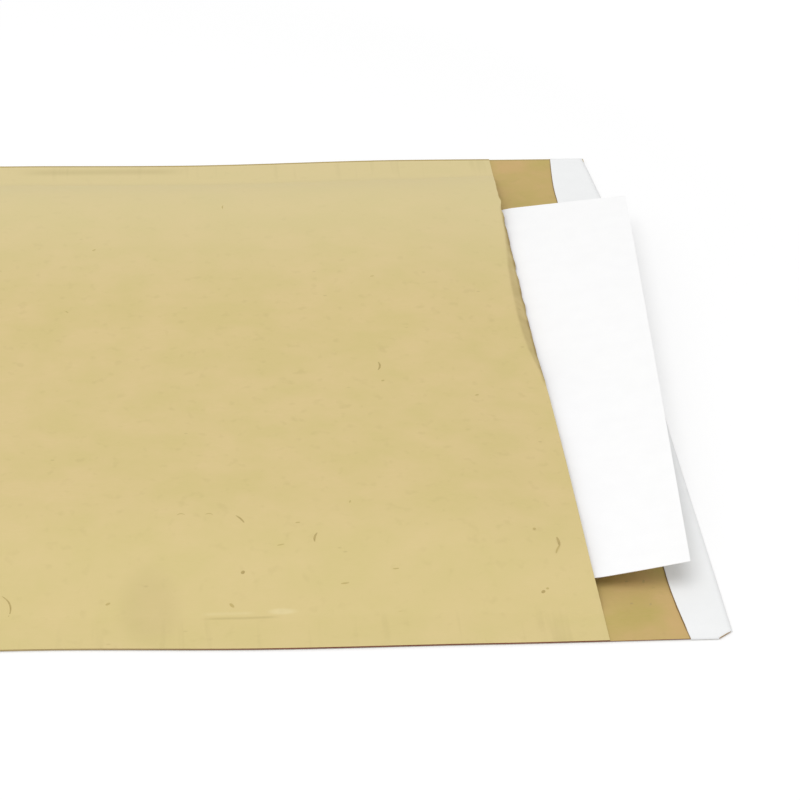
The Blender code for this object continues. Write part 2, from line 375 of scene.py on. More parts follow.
def panel_rows():
    """Stations across the pocket, closest on the seals and shoulders."""
    seal = [-SIDE_Y, EDGE_SHADE_BAND - SIDE_Y, *evenly(-SIDE_Y, -SEAL_Y, 9)[1:]]
    shoulder = evenly(-SEAL_Y, -SEAL_Y + SHOULDER_WIDTH, 24)
    half = seal + shoulder[1:]
    return half + evenly(half[-1], -half[-1], 70)[1:-1] + [-y for y in reversed(half)]


def cover_path():
    """Stations along the cover from the lip, over the front, round the closed end, and back to the flap's edge."""
    start = CLOSED_X + FOLD_BAND
    front = [MOUTH_X - LIP_BAND * (i / 14) ** 1.2 for i in range(15)]
    front += evenly(front[-1], MOUTH_X - LIP_REACH, 20)[1:]
    front += evenly(MOUTH_X - LIP_REACH, start + END_SHOULDER_WIDTH, 120)[1:]
    front += evenly(start + END_SHOULDER_WIDTH, start, 30)[1:]
    path = [("front", x) for x in front]
    path += [("fold", math.pi * i / 8) for i in range(9)]
    path += [("back", x) for x in evenly(start, MOUTH_X, 40)]
    return path + [("flap", share) for share in evenly(0.0, 1.0, 14)[1:]]


# Building tools


def add_grid(made, columns, rows, place):
    """Adds a grid of faces to a bmesh, with its points at place(column, row)."""
    across, up = len(columns) - 1, len(rows) - 1
    for vert in bmesh.ops.create_grid(made, x_segments=across, y_segments=up, size=1.0)["verts"]:
        column = round((vert.co.x + 1.0) / 2.0 * across)
        row = round((vert.co.y + 1.0) / 2.0 * up)
        vert.co = place(columns[column], rows[row])


def finish_mesh(name, made):
    """Makes a bmesh an object of the scene, smooth shaded up to its cut edges."""
    for face in made.faces:
        face.smooth = True
    for edge in made.edges:
        edge.smooth = len(edge.link_faces) > 1
    mesh = bpy.data.meshes.new(name)
    made.to_mesh(mesh)
    made.free()
    piece = bpy.data.objects.new(name, mesh)
    bpy.context.scene.collection.objects.link(piece)
    return piece


def grid_piece(name, columns, rows, place):
    made = bmesh.new()
    add_grid(made, columns, rows, place)
    return finish_mesh(name, made)


def verts_of(geometry):
    return [part for part in geometry if isinstance(part, bmesh.types.BMVert)]


def repeated(made, first, count, step):
    """Copies a group of faces until there are count of it, each one step from the last."""
    everything, newest = list(first), list(first)
    for number in range(1, count):
        newest = bmesh.ops.duplicate(made, geom=newest)["geom"]
        bmesh.ops.translate(made, verts=verts_of(newest), vec=step)
        everything += newest
    return everything


def bubble(made, radius):
    """One bubble of air as a low dome, from 0 at the web to 1 at its crown."""
    verts = bmesh.ops.create_uvsphere(made, u_segments=12, v_segments=8, radius=1.0)["verts"]
    lower = [vert for vert in verts if vert.co.z < -0.01]
    verts = [vert for vert in verts if vert.co.z >= -0.01]
    bmesh.ops.delete(made, geom=lower, context="VERTS")
    for vert in verts:
        flat = math.hypot(vert.co.x, vert.co.y)
        wide = radius * math.sqrt(flat) / flat if flat > 1e-6 else 0.0
        vert.co = (vert.co.x * wide, vert.co.y * wide, 0.97 * math.sqrt(max(vert.co.z, 0.0)))
    edges = dict.fromkeys(edge for vert in verts for edge in vert.link_edges)
    faces = dict.fromkeys(face for vert in verts for face in vert.link_faces)
    return [*verts, *edges, *faces]


def thicken(piece, thickness, inner_slot=0, rim_slot=0):
    """Gives a sheet its thickness, into the side away from its faces, with its own cut edge."""
    solidify = piece.modifiers.new("paper_thickness", "SOLIDIFY")
    solidify.thickness = thickness
    solidify.offset = -1.0
    solidify.material_offset = inner_slot
    solidify.material_offset_rim = rim_slot


def dress(piece, slot, *finishes):
    """Gives a piece its finishes and the body it rides on. The slot is not used."""
    for finish in finishes:
        piece.data.materials.append(finish)
    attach(piece, "root")


# Shader tools


def fill_inputs(tree, node, inputs):
    """Links each input to a socket, or sets it to a value."""
    for socket, source in inputs.items():
        if isinstance(source, bpy.types.NodeSocket):
            tree.links.new(source, node.inputs[socket])
        else:
            node.inputs[socket].default_value = source


def add_node(tree, kind, inputs, **settings):
    """Adds one node, sets its properties, and fills or links its inputs."""
    node = tree.nodes.new(kind)
    for name, value in settings.items():
        setattr(node, name, value)
    fill_inputs(tree, node, inputs)
    return node


def new_material(name):
    """A material with its node tree, its shader and the piece's own coordinates."""
    made = bpy.data.materials.new(name)
    made.use_nodes = True
    tree = made.node_tree
    return made, tree, tree.nodes["Principled BSDF"], add_node(tree, "ShaderNodeTexCoord", {}).outputs["Object"]


def tint(tree, factor, first, second, blend="MIX"):
    """Mixes two colours by a factor."""
    inputs = {0: factor, 6: first, 7: second}
    return add_node(tree, "ShaderNodeMix", inputs, data_type="RGBA", blend_type=blend).outputs[2]


def compute(tree, operation, *values):
    """One step of arithmetic."""
    return add_node(tree, "ShaderNodeMath", dict(enumerate(values)), operation=operation).outputs[0]


def ramp(tree, value, start, end, low=0.0, high=1.0, curve="LINEAR"):
    """Maps a value from between start and end to between low and high, and holds it past both."""
    inputs = {"Value": value, "From Min": start, "From Max": end, "To Min": low, "To Max": high}
    return add_node(tree, "ShaderNodeMapRange", inputs, interpolation_type=curve).outputs[0]


def soft_ramp(tree, value, start, end, low=0.0, high=1.0):
    return ramp(tree, value, start, end, low, high, "SMOOTHSTEP")


def drawn_out(tree, where, scale):
    """The same place in a space that is drawn out along each axis with a scale under 1."""
    return add_node(tree, "ShaderNodeMapping", {"Vector": where, "Scale": scale}).outputs[0]


def cloud(tree, where, size, detail=2.0, roughness=0.5):
    """Soft noise with one swell every size metres."""
    inputs = {"Vector": where, "Scale": 1.0 / size, "Detail": detail, "Roughness": roughness}
    return add_node(tree, "ShaderNodeTexNoise", inputs).outputs[0]


def axes(tree, where):
    return add_node(tree, "ShaderNodeSeparateXYZ", {0: where}).outputs


def relief(tree, height, strength, distance, **under):
    """Turns a pattern into a relief of one height, over another relief if its Normal is given."""
    inputs = {"Height": height, "Strength": strength, "Distance": distance, **under}
    return add_node(tree, "ShaderNodeBump", inputs).outputs[0]


def seen_directly(tree):
    """1 for what the camera sees, straight, mirrored or through film, and 0 for the light that falls on things."""
    path = add_node(tree, "ShaderNodeLightPath", {}).outputs
    seen = compute(tree, "MAXIMUM", path["Is Camera Ray"], path["Is Glossy Ray"])
    return compute(tree, "MAXIMUM", seen, path["Is Transmission Ray"])


# Marks on the kraft: each gives a function that adds the mark to the paper's colour


def painted_crease_band(centre, half_width, depth, start, end, colour):
    """A soft line along the web at one Y, from one X to another: painted shade in a dark colour and a painted
    highlight in a pale one, as beside the crease of a seal.
    """
    middle, half = (start + end) / 2.0, (end - start) / 2.0

    def add(tree, where, body):
        place = axes(tree, where)
        away = compute(tree, "ABSOLUTE", compute(tree, "SUBTRACT", place["Y"], centre))
        line = soft_ramp(tree, away, 0.0, half_width, depth, 0.0)
        along = compute(tree, "ABSOLUTE", compute(tree, "SUBTRACT", place["X"], middle))
        fade = soft_ramp(tree, along, half * 0.55, half, 1.0, 0.0)
        return tint(tree, compute(tree, "MULTIPLY", line, fade), body, linear(colour))

    return add


def stain_and_highlight_spot(centre, half_sizes, depth, colour):
    """A soft oval mark: a stain, and in a pale colour a painted highlight."""

    def add(tree, where, body):
        inputs = {"Vector": where, "Location": (*centre, 0.0), "Scale": (*half_sizes, 1.0)}
        place = axes(tree, add_node(tree, "ShaderNodeMapping", inputs, vector_type="TEXTURE").outputs[0])
        flat = add_node(tree, "ShaderNodeCombineXYZ", {"X": place["X"], "Y": place["Y"]}).outputs[0]
        radius = add_node(tree, "ShaderNodeVectorMath", {0: flat}, operation="LENGTH").outputs["Value"]
        return tint(tree, soft_ramp(tree, radius, 0.35, 1.0, depth, 0.0), body, linear(colour))

    return add


def fade_along(axis, start, end, depth, colour):
    """A slow change of tone along the sheet, from none at start to its full depth at end."""

    def add(tree, where, body):
        return tint(tree, soft_ramp(tree, axes(tree, where)[axis], start, end, 0.0, depth), body, linear(colour))

    return add


def painted_lip_shade(colour):
    """The rolled part of the lip, darkened with painted shade where it turns away from the light, and darkest in a
    painted shadow line along its cut edge.
    """
    first, last = ROLL[0][0], ROLL[-1][0]
    widest = max(width for y, width in ROLL)

    def add(tree, where, body):
        place = axes(tree, where)
        profile = add_node(tree, "ShaderNodeFloatCurve", {"Value": ramp(tree, place["Y"], first, last)})
        curve = profile.mapping.curves[0]
        curve.points[0].location = (0.0, 0.0)
        curve.points[1].location = (1.0, 0.0)
        for y, width in ROLL[1:-1]:
            curve.points.new((y - first) / (last - first), width / widest)
        profile.mapping.update()
        width = compute(tree, "MULTIPLY", profile.outputs[0], widest)
        past = compute(tree, "SUBTRACT", place["X"], compute(tree, "SUBTRACT", LIP_EDGE, width))
        # Painted shade over the roll, and a painted shadow line along its edge
        roll_shade = soft_ramp(tree, past, 0.0, 0.0012, 0.0, 0.42)
        rim_shadow = soft_ramp(tree, place["X"], LIP_EDGE - 0.0014, LIP_EDGE, 0.0, 0.75)
        patchy = ramp(tree, cloud(tree, where, 0.007), 0.35, 0.65, 0.55, 1.0)
        rolled = ramp(tree, width, 0.0, 0.0006)
        factor = compute(tree, "MULTIPLY", compute(tree, "ADD", roll_shade, rim_shadow), patchy)
        return tint(tree, compute(tree, "MULTIPLY", factor, rolled), body, linear(colour))

    return add


def painted_gather_shade(colour):
    """Fine dark pinch lines square to the side seals, painted shade of the gathers where the heated jaws gathered the
    paper.
    """

    def add(tree, where, body):
        away = compute(tree, "ABSOLUTE", axes(tree, where)["Y"])
        band = soft_ramp(tree, away, SEAL_Y - 0.004, SEAL_Y + 0.004)
        lines = ramp(tree, cloud(tree, drawn_out(tree, where, (1.0, 0.06, 1.0)), 0.0035), 0.58, 0.80, 0.0, 0.14)
        return tint(tree, compute(tree, "MULTIPLY", band, lines), body, linear(colour))

    return add


# Finishes


def kraft_finish(name, colour, warm, cool, fibre_depth, *marks):
    """Unbleached sulphate kraft, machine glazed: long fibres lie along the web, so it is streaked and cloudy."""
    made, tree, shader, where = new_material(name)
    # Clouds of formation, where the pulp lay thicker, every 14 mm and drawn out along the web
    clouds = cloud(tree, drawn_out(tree, where, (0.85, 1.0, 1.0)), 0.014, 3.0, 0.55)
    body = tint(tree, ramp(tree, clouds, 0.35, 0.65), linear(cool), linear(warm))
    # Fibres, 0.4 mm wide and 2.6 mm long, drawn a little coarse so that they show
    fibres = cloud(tree, drawn_out(tree, where, (0.16, 1.0, 1.0)), 0.00042, 2.0, 0.6)
    body = tint(tree, ramp(tree, fibres, 0.30, 0.70, 0.0, fibre_depth), body, linear(colour))
    # Small smudges, where a knot of fibre lies under the surface, 2 to 3 mm across
    knots = ramp(tree, cloud(tree, where, 0.0038, 1.5, 0.6), 0.60, 0.76, 0.0, 0.11)
    body = tint(tree, knots, body, linear("#9A874F"))
    # Shives, the odd dark splinter of bark, about one every 12 mm
    cells = {"Vector": drawn_out(tree, where, (0.5, 1.0, 1.0)), "Scale": 1.0 / 0.0085}
    distance = add_node(tree, "ShaderNodeTexVoronoi", cells, feature="F1").outputs["Distance"]
    body = tint(tree, ramp(tree, distance, 0.018, 0.050, 0.25, 0.0), body, linear("#8D7442"))
    for mark in marks:
        body = mark(tree, where, body)
    fine = relief(tree, fibres, 0.16, 0.00006)
    inputs = {
        "Base Color": body,
        "Roughness": ramp(tree, clouds, 0.3, 0.7, 0.66, 0.80),
        "Specular IOR Level": 0.30,
        "Normal": relief(tree, clouds, 0.30, 0.00028, Normal=fine),
    }
    fill_inputs(tree, shader, inputs)
    return made


def plain_paper_finish(name, colour, tooth, roughness):
    """Bleached woodfree paper: filled and even, with a fine tooth that only raking light shows."""
    made, tree, shader, where = new_material(name)
    shade = ramp(tree, cloud(tree, where, 0.006), 0.3, 0.7, 0.985, 1.0)
    grey = add_node(tree, "ShaderNodeCombineColor", {"Red": shade, "Green": shade, "Blue": shade}).outputs[0]
    inputs = {
        "Base Color": tint(tree, 1.0, linear(colour), grey, "MULTIPLY"),
        "Roughness": roughness,
        "Specular IOR Level": 0.25,
        "Normal": relief(tree, cloud(tree, where, 0.0006, 3.0), tooth, 0.00003),
    }
    fill_inputs(tree, shader, inputs)
    return made


def film_finish(name, colour):
    """Low density polyethylene blown film: milky, soft edged reflections, light comes through it."""
    made, tree, shader, where = new_material(name)
    haze = cloud(tree, where, 0.004)
    inputs = {
        "Base Color": linear(colour),
        "Roughness": ramp(tree, haze, 0.3, 0.7, 0.22, 0.36),
        "IOR": 1.51,
        "Transmission Weight": 0.45,
        "Normal": relief(tree, haze, 0.25, 0.0001),
    }
    fill_inputs(tree, shader, inputs)
    return made


def glue_finish(name, colour):
    """Pressure sensitive hot melt adhesive: a clear yellowish coat with a wet sheen."""
    made, tree, shader, where = new_material(name)
    swirl = relief(tree, cloud(tree, where, 0.003), 0.3, 0.00008)
    fill_inputs(tree, shader, {"Base Color": linear(colour), "Roughness": 0.28, "Normal": swirl})
    return made


def fibre_finish(name, colour):
    """A splinter of bark or a dark fibre pressed into the sheet: dull and matt."""
    made, tree, shader, where = new_material(name)
    body = tint(tree, cloud(tree, where, 0.0008, 1.0), linear(colour), linear("#C2AE72"))
    fill_inputs(tree, shader, {"Base Color": body, "Roughness": 0.85})
    return made


def sweep_finish(name, colour):
    """A sweep of white paper: it keeps the object's soft shadow, and fades to plain white away from it."""
    made, tree, shader, where = new_material(name)
    distance = add_node(tree, "ShaderNodeVectorMath", {0: where}, operation="LENGTH").outputs["Value"]
    white = soft_ramp(tree, distance, 0.28, 0.70, 0.32, 1.0)
    inputs = {
        "Base Color": linear(colour),
        "Roughness": 0.9,
        "Specular IOR Level": 0.0,
        "Emission Color": WHITE,
        "Emission Strength": compute(tree, "MULTIPLY", seen_directly(tree), white),
    }
    fill_inputs(tree, shader, inputs)
    return made


# What a user would change


def size_of(name, description, default, **limits):
    return bpy.props.FloatProperty(name=name, description=description, default=default, unit="LENGTH", **limits)


def colour_of(name, part, default):
    return bpy.props.StringProperty(name=name, description=f"Colour of the {part}, as sRGB hex", default=default)


class CoverSizes(bpy.types.PropertyGroup):
    paper: size_of("Paper", "Thickness of the kraft", 0.00025, min=0.0001)
    crown: size_of("Crown", "Height of the filled panel over its seals", 0.0105)
    lip_drop: size_of("Lip drop", "How much lower the lip lies than the panel", 0.0032)
    setback: size_of("Setback", "How far the raised lip draws back", 0.0019)
    rag: size_of("Rag", "How ragged the lip's rolled edge is", 0.0005)
    pucker: size_of("Pucker", "Height of the gathers along the seams", 0.00016)
    dent: size_of("Dent", "Height of the soft dents of the panel", 0.00022)
    outside: colour_of("Outside", "glazed side", "#D3BF85")
    inside: colour_of("Inside", "rough side", "#C1A869")


class LiningSizes(bpy.types.PropertyGroup):
    ply: size_of("Ply", "Thickness of the bubble film", 0.0016)
    pinched: size_of("Pinched", "Its thickness in the seams", 0.00035)
    taper: size_of("Taper", "Distance over which it swells from the seams", 0.045)
    inset: size_of("Inset", "How far its edges lie inside the seams", 0.0075)
    gap: size_of("Gap", "Air between the film and the kraft", 0.0003)
    pitch: size_of("Pitch", "Distance from bubble to bubble", 0.0112)
    radius: size_of("Radius", "Radius of a bubble", 0.0048)
    colour: colour_of("Colour", "film", "#E6E9EA")


class ClosureSizes(bpy.types.PropertyGroup):
    liner: size_of("Liner", "Thickness of the peel-off strip", 0.00012)
    corner_cut: size_of("Corner cut", "How far the strip stays inside the flap's corners", 0.0003)
    # The width of the dark line beside the strip, painted shade standing in for its shadow line
    overhang: size_of("Overhang", "How far the strip hangs over the flap's edge", 0.00012)
    shadow_line_width: size_of("Creep", "How far dusty glue has crept out beside the strip", 0.00045)
    colour: colour_of("Colour", "strip", "#F2F3F3")


class LetterSizes(bpy.types.PropertyGroup):
    width: size_of("Width", "Width of the sheet", 0.210)
    length: size_of("Length", "Length of the sheet", 0.297)
    thickness: size_of("Thickness", "Thickness of the sheet", 0.00015)
    turn: bpy.props.FloatProperty(
        name="Turn", description="How far it is turned in the pocket", default=math.radians(4.4), unit="ROTATION"
    )
    reach: size_of("Reach", "How far its near corner stands out of the mouth", 0.02685)
    inset: size_of("Inset", "Distance of that corner from the near edge", 0.0219)
    floor: size_of("Floor", "Height of the padding that it lies on", 0.00245)
    colour: colour_of("Colour", "paper", "#FBFBFB")


class StageSizes(bpy.types.PropertyGroup):
    sky: bpy.props.FloatProperty(name="Sky", description="Strength of the even light from all round", default=0.68)
    key: bpy.props.FloatProperty(name="Key", description="Power of the large soft lamp", default=13.0, unit="POWER")
    lens: bpy.props.FloatProperty(name="Lens", description="Focal length in millimetres", default=112.5)


# What makes the pieces


class MAILER_OT_fold_cover(bpy.types.Operator):
    """Folds the kraft cover from one sheet: front panel, closed end, back and open flap"""

    bl_idname = "mailer.fold_cover"
    bl_label = "Fold the kraft cover"

    def execute(self, context):
        sizes = context.scene.mailer_cover
        half_fold = SEAL_TOP / 2.0

        def place(station, y):
            part, at = station
            if part == "front":
                toward_lip = smooth_step(1.0 - (MOUTH_X - at) / LIP_REACH)
                rag = wander(0.0, y, RAG_LENGTH, seed=8.0) * smooth_step((y - RAG_START) / RAG_EASE)
                drawn_back = sizes.setback * toward_lip + sizes.rag * rag * toward_lip**RAG_POWER
                return (at - drawn_back * crown_share(at, y), drawn_in(at, y), panel_height(at, y, sizes))
            if part == "fold":
                turn = math.pi / 2.0 + at
                centre = CLOSED_X + half_fold
                return (centre + half_fold * math.cos(turn), y, half_fold + half_fold * math.sin(turn))
            if part == "back":
                return (at, drawn_in(at, y), 0.0)
            x = MOUTH_X + at * between(FLAP_EDGE, y)
            return (x, y, flap_lift(x, y))

        cover = grid_piece("kraft_sheet", cover_path(), panel_rows()[::-1], place)
        # The upward faces and the flap along the far edge take slot 3, a darker kraft painted as the shade of that
        # edge
        for polygon in cover.data.polygons:
            seen = polygon.normal.z > 0.0 or polygon.center.x > MOUTH_X
            if seen and polygon.center.y > drawn_in(polygon.center.x, SIDE_Y) - EDGE_SHADE_BAND:
                polygon.material_index = 3
        thicken(cover, sizes.paper, inner_slot=1, rim_slot=2)
        outside = kraft_finish(
            "kraft_outside_machine_glazed",
            sizes.outside,
            "#D7C18B",
            "#CFBD80",
            0.55,
            # Painted light: the far and near parts of the panel are painted paler for the light on their gentle tilt,
            # so the middle reads darker
            fade_along("Y", 0.010, 0.115, 0.60, "#DACC9C"),
            fade_along("Y", -0.070, -0.125, 0.30, "#DACB90"),
            stain_and_highlight_spot((0.0527, -0.1235), (0.0115, 0.0180), 0.11, "#8E7F4C"),
            # Painted shade in the crease beside the near seal, with a painted highlight line and a painted highlight
            # patch just inside it
            painted_crease_band(-0.1262, 0.0008, 0.24, 0.066, 0.090, "#8E7F4C"),
            painted_crease_band(-0.1245, 0.0009, 0.12, 0.066, 0.083, "#EFE3B8"),
            stain_and_highlight_spot((0.0895, -0.1243), (0.0052, 0.0013), 0.26, "#EFE3B8"),
            # Painted shade in the crease beside the far seal
            painted_crease_band(0.1322, 0.0034, 0.17, 0.004, 0.071, "#8E7F4C"),
            # Painted shade on the rolled lip, with a painted shadow line along its edge
            painted_lip_shade("#967F49"),
            # Painted shade of the gathers at the side seals
            painted_gather_shade("#8E7F4C"),
        )
        inside = kraft_finish(
            "kraft_inside_rough",
            sizes.inside,
            "#C9AA73",
            "#BAA660",
            0.60,
            stain_and_highlight_spot((0.2030, -0.1330), (0.0085, 0.0160), 0.30, "#D6A97C"),
            stain_and_highlight_spot((0.1900, -0.1240), (0.0075, 0.0180), 0.10, "#AE9A52"),
            stain_and_highlight_spot((0.1870, 0.1350), (0.0100, 0.0090), 0.20, "#D6A97C"),
        )
        # The cut edge is painted dark red brown as the shadow line under the envelope's edge; this painted shade
        # fades to pale kraft towards the closed end
        edge_shade_fade_left = fade_along("X", 0.100, 0.020, 0.8, "#CDB77E")
        edge = kraft_finish("kraft_cut_edge_painted_shade", "#86513F", "#8C5A46", "#7A4A3A", 0.5, edge_shade_fade_left)
        # A darker kraft painted as the shade along the far edge
        far_edge_shade = kraft_finish("kraft_far_edge_painted_shade", "#AD985C", "#B19B5E", "#A69258", 0.5)
        dress(cover, "kraft", outside, inside, edge, far_edge_shade, far_edge_shade)
        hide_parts("kraft_cover")
        return {"FINISHED"}


class MAILER_OT_press_fibres(bpy.types.Operator):
    """Presses dark fibres and splinters into the faces of the kraft"""

    bl_idname = "mailer.press_fibres"
    bl_label = "Press in the fibres"

    def execute(self, context):
        sizes = context.scene.mailer_cover

        def over_panel(x, y):
            return Vector((x, y, panel_height(x, (y - sway(x)) / kept_width(x), sizes)))

        def over_flap(x, y):
            return Vector((x, y, sizes.paper + flap_lift(x, y)))

        for name, colour, marks, surface in (
            ("dark_fibres", "#A08A52", DARK_FIBRES, over_panel),
            ("pale_fibres", "#BCA868", PALE_FIBRES, over_panel),
            ("flap_specks", "#A58A58", FLAP_SPECKS, over_flap),
        ):
            made = bmesh.new()
            for x, y, turn, long, wide, bow in marks:
                strand = bmesh.ops.create_grid(made, x_segments=12, y_segments=2, size=0.5)["verts"]
                direction = Matrix.Rotation(math.radians(turn), 3, "Z")
                for vert in strand:
                    tip = (2.0 * vert.co.x) ** 2
                    flat = Vector((vert.co.x * long, vert.co.y * wide * math.sqrt(1.0 - 0.96 * tip), 0.0))
                    flat.y += bow * long * (1.0 - tip)
                    spot = direction @ flat
                    vert.co = surface(x + spot.x, y + spot.y) + Vector((0.0, 0.0, FIBRE_TOP))
            dress(finish_mesh(name, made), "kraft", fibre_finish(name + "_of_bark", colour))
        return {"FINISHED"}


class MAILER_OT_fill_lining(bpy.types.Operator):
    """Fills the cover with its bag of bubble film, open at the mouth"""

    bl_idname = "mailer.fill_lining"
    bl_label = "Fill in the bubble lining"

    def execute(self, context):
        cover, sizes = context.scene.mailer_cover, context.scene.mailer_lining
        edge_y = SEAL_Y - sizes.inset
        start = CLOSED_X + FOLD_BAND + sizes.inset

        def thickness(x, y):
            inside = min(edge_y - abs(y), x - start)
            return mixed(sizes.pinched, sizes.ply, smooth_step(inside / sizes.taper))

        def under_kraft(x, y, depth, upper):
            """A point of the upper or the lower ply, at one depth under the kraft that it lies against."""
            low = cover.paper + sizes.gap
            z = panel_height(x, y, cover) - low - depth if upper else low + depth
            return (x, drawn_in(x, y), z)

        def upper_web(x, y):
            return under_kraft(x, y, thickness(x, y) - FILM, True)

        def lower_web(x, y):
            return under_kraft(x, y, thickness(x, y), False)

        made = bmesh.new()
        for web in (upper_web, lower_web):
            add_grid(made, evenly(start, LINING_END_X, 90), evenly(-edge_y, edge_y, 72), web)
        lining_web = finish_mesh("bubble_film_web", made)
        thicken(lining_web, FILM)

        row_step = sizes.pitch * math.sqrt(3.0) / 2.0
        across = int((2.0 * edge_y - 2.0 * sizes.radius - 0.5 * sizes.pitch) / sizes.pitch) + 1
        along = int((LINING_END_X - start - 2.0 * sizes.radius) / (2.0 * row_step))
        spread = (across - 0.5) * sizes.pitch / 2.0
        made = bmesh.new()
        for upper in (True, False):
            lane = []
            for x, y in ((0.0, 0.0), (-row_step, 0.5 * sizes.pitch)):
                dome = bubble(made, sizes.radius)
                bmesh.ops.translate(made, verts=verts_of(dome), vec=(x, y, 0.0))
                lane += repeated(made, dome, across, (0.0, sizes.pitch, 0.0))
            bmesh.ops.translate(made, verts=verts_of(lane), vec=(LINING_END_X - FIRST_BUBBLE, -spread, 0.0))
            bed = repeated(made, lane, along, (-2.0 * row_step, 0.0, 0.0))
            for vert in verts_of(bed):
                x, y, share = vert.co
                vert.co = under_kraft(x, y, (thickness(x, y) - FILM) * (1.0 - share), upper)
            if not upper:
                bmesh.ops.reverse_faces(made, faces=[f for f in bed if isinstance(f, bmesh.types.BMFace)])
        bubbles = finish_mesh("bubble_film_bubbles", made)
        film_look = film_finish("polyethylene_bubble_film", sizes.colour)
        for piece in (lining_web, bubbles):
            dress(piece, "lining", film_look)
            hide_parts("padded_lining")
        return {"FINISHED"}


class MAILER_OT_lay_closure(bpy.types.Operator):
    """Lays the peel-off strip over the adhesive on the flap"""

    bl_idname = "mailer.lay_closure"
    bl_label = "Lay the closure"

    def execute(self, context):
        sizes = context.scene.mailer_closure
        ends = [-SIDE_Y - sizes.overhang, -SIDE_Y - 0.0001, -SIDE_Y, *evenly(-SIDE_Y + 0.0005, -SIDE_Y + 0.006, 11)]
        rows = ends + evenly(ends[-1], -ends[-1], 90)[1:-1] + [-y for y in reversed(ends)]

        def place(share, y):
            """Share 0 is the strip's inner edge, 1 the flap's edge, and past it the strip hangs over."""
            inside = SIDE_Y - abs(y)
            low = MOUTH_X + liner_start(y)
            cut = sizes.corner_cut * (1.0 - smooth_step((inside - CORNER_START) / CORNER_EASE))
            edge = MOUTH_X + between(FLAP_EDGE, y) - cut
            x = low + min(share, 1.0) * (edge - low) + max(share - 1.0, 0.0) * sizes.overhang
            if inside < -0.5 * sizes.overhang or share > 1.0:
                return (x, y, OVERHANG_FLOOR + sizes.liner)
            ripple = LINER_RIPPLE * (1.0 + wander(x, y, LINER_RIPPLE_LENGTH, seed=6.0))
            over_glue = smooth_step((inside - GLUE_START) / GLUE_EASE) * smooth_step((edge - x) / GLUE_EDGE_EASE)
            return (x, y, mixed(KRAFT_TOP, LINER_FLOOR + ripple, over_glue) + flap_lift(x, y) + sizes.liner)

        strip = grid_piece("peel_off_strip", [*evenly(0.0, 1.0, 10), 2.0], rows, place)
        thicken(strip, sizes.liner)
        dress(strip, "liner", plain_paper_finish("silicone_release_paper", sizes.colour, 0.06, 0.42))
        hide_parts("release_liner")

        def lay(x, y):
            return (x, y, ADHESIVE_FLOOR + GLUE_THICKNESS + flap_lift(x, y))

        low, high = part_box("adhesive_strip")
        glue = grid_piece("hot_melt_strip", evenly(low.x, high.x, 6), evenly(low.y, high.y, 90), lay)
        thicken(glue, GLUE_THICKNESS)
        dress(glue, "adhesive", glue_finish("pressure_sensitive_adhesive", "#E6DDBB"))
        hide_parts("adhesive_strip")

        def crept(share, y):
            """Share 0 is just under the strip, and 1 is the outer side of the dark glue line painted as the strip's
            shadow line.
            """
            width = sizes.shadow_line_width * (0.8 + 0.4 * wander(0.0, y, SHADOW_LINE_WAVER, seed=2.0))
            x = MOUTH_X + liner_start(y) + SHADOW_LINE_TUCK - share * width
            return (x, y, KRAFT_TOP + SHADOW_LINE_TOP + flap_lift(x, y))

        # A thin dark glue-coloured strip along the strip's inner edge, painted as its shadow line
        line = grid_piece("painted_shadow_glue_line", (1.0, 0.5, 0.0), evenly(-SIDE_Y, SIDE_Y, 200), crept)
        dress(line, "adhesive", glue_finish("glue_painted_shadow", "#8F7240"))
        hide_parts("adhesive_strip")
        return {"FINISHED"}


class MAILER_OT_slide_in_letter(bpy.types.Operator):
    """Slides the letter sheet into the pocket, turned a little and bent up as it leaves the mouth"""

    bl_idname = "mailer.slide_in_letter"
    bl_label = "Slide in the letter"

    def execute(self, context):
        sizes = context.scene.mailer_letter
        cos_turn, sin_turn = math.cos(sizes.turn), math.sin(sizes.turn)

        def rise(out, across):
            """How high the sheet bends up at one distance past the mouth, across it from near, 0, to far, 1."""
            step, slope = mixed(NEAR_STEP, FAR_STEP, across), mixed(NEAR_SLOPE, FAR_SLOPE, across)
            if out <= DIP_START:
                return 0.0
            if out >= DIP_END:
                return step + slope * (out - DIP_END)
            reach = DIP_END - DIP_START
            t = (out - DIP_START) / reach
            return step * t * t * (3.0 - 2.0 * t) + reach * slope * t * t * (t - 1.0)

        def bent(flat_out, across):
            """How far out a point really lies, when its distance along the bent sheet is flat_out."""
            if flat_out <= DIP_START:
                return flat_out
            out = run = DIP_START
            while run < flat_out:
                chord = math.hypot(BEND_STEP, rise(out + BEND_STEP, across) - rise(out, across))
                out += BEND_STEP * min(1.0, (flat_out - run) / chord)
                run += chord
            return out

        def place(along, over):
            across = over / sizes.width
            out = bent(sizes.reach - along * cos_turn + over * sin_turn, across)
            y = -SIDE_Y + sizes.inset + along * sin_turn + over * cos_turn
            swell = between(SWELL, y) * smooth_step((out - SWELL_START) / (SWELL_TOP - SWELL_START))
            swell *= 1.0 - smooth_step((out - SWELL_TOP) / (SWELL_END - SWELL_TOP))
            return (MOUTH_X + out, y, sizes.floor + sizes.thickness + rise(out, across) + swell)

        bend = sizes.reach + sizes.width * sin_turn - DIP_START + BEND_MARGIN
        columns = evenly(sizes.length, bend, 24)[:-1] + evenly(bend, 0.0, 70)
        sheet = grid_piece("letter_paper", columns, evenly(0.0, sizes.width, 40), place)
        thicken(sheet, sizes.thickness)
        dress(sheet, "paper", plain_paper_finish("uncoated_office_paper", sizes.colour, 0.10, 0.78))
        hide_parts("letter_sheet")
        return {"FINISHED"}


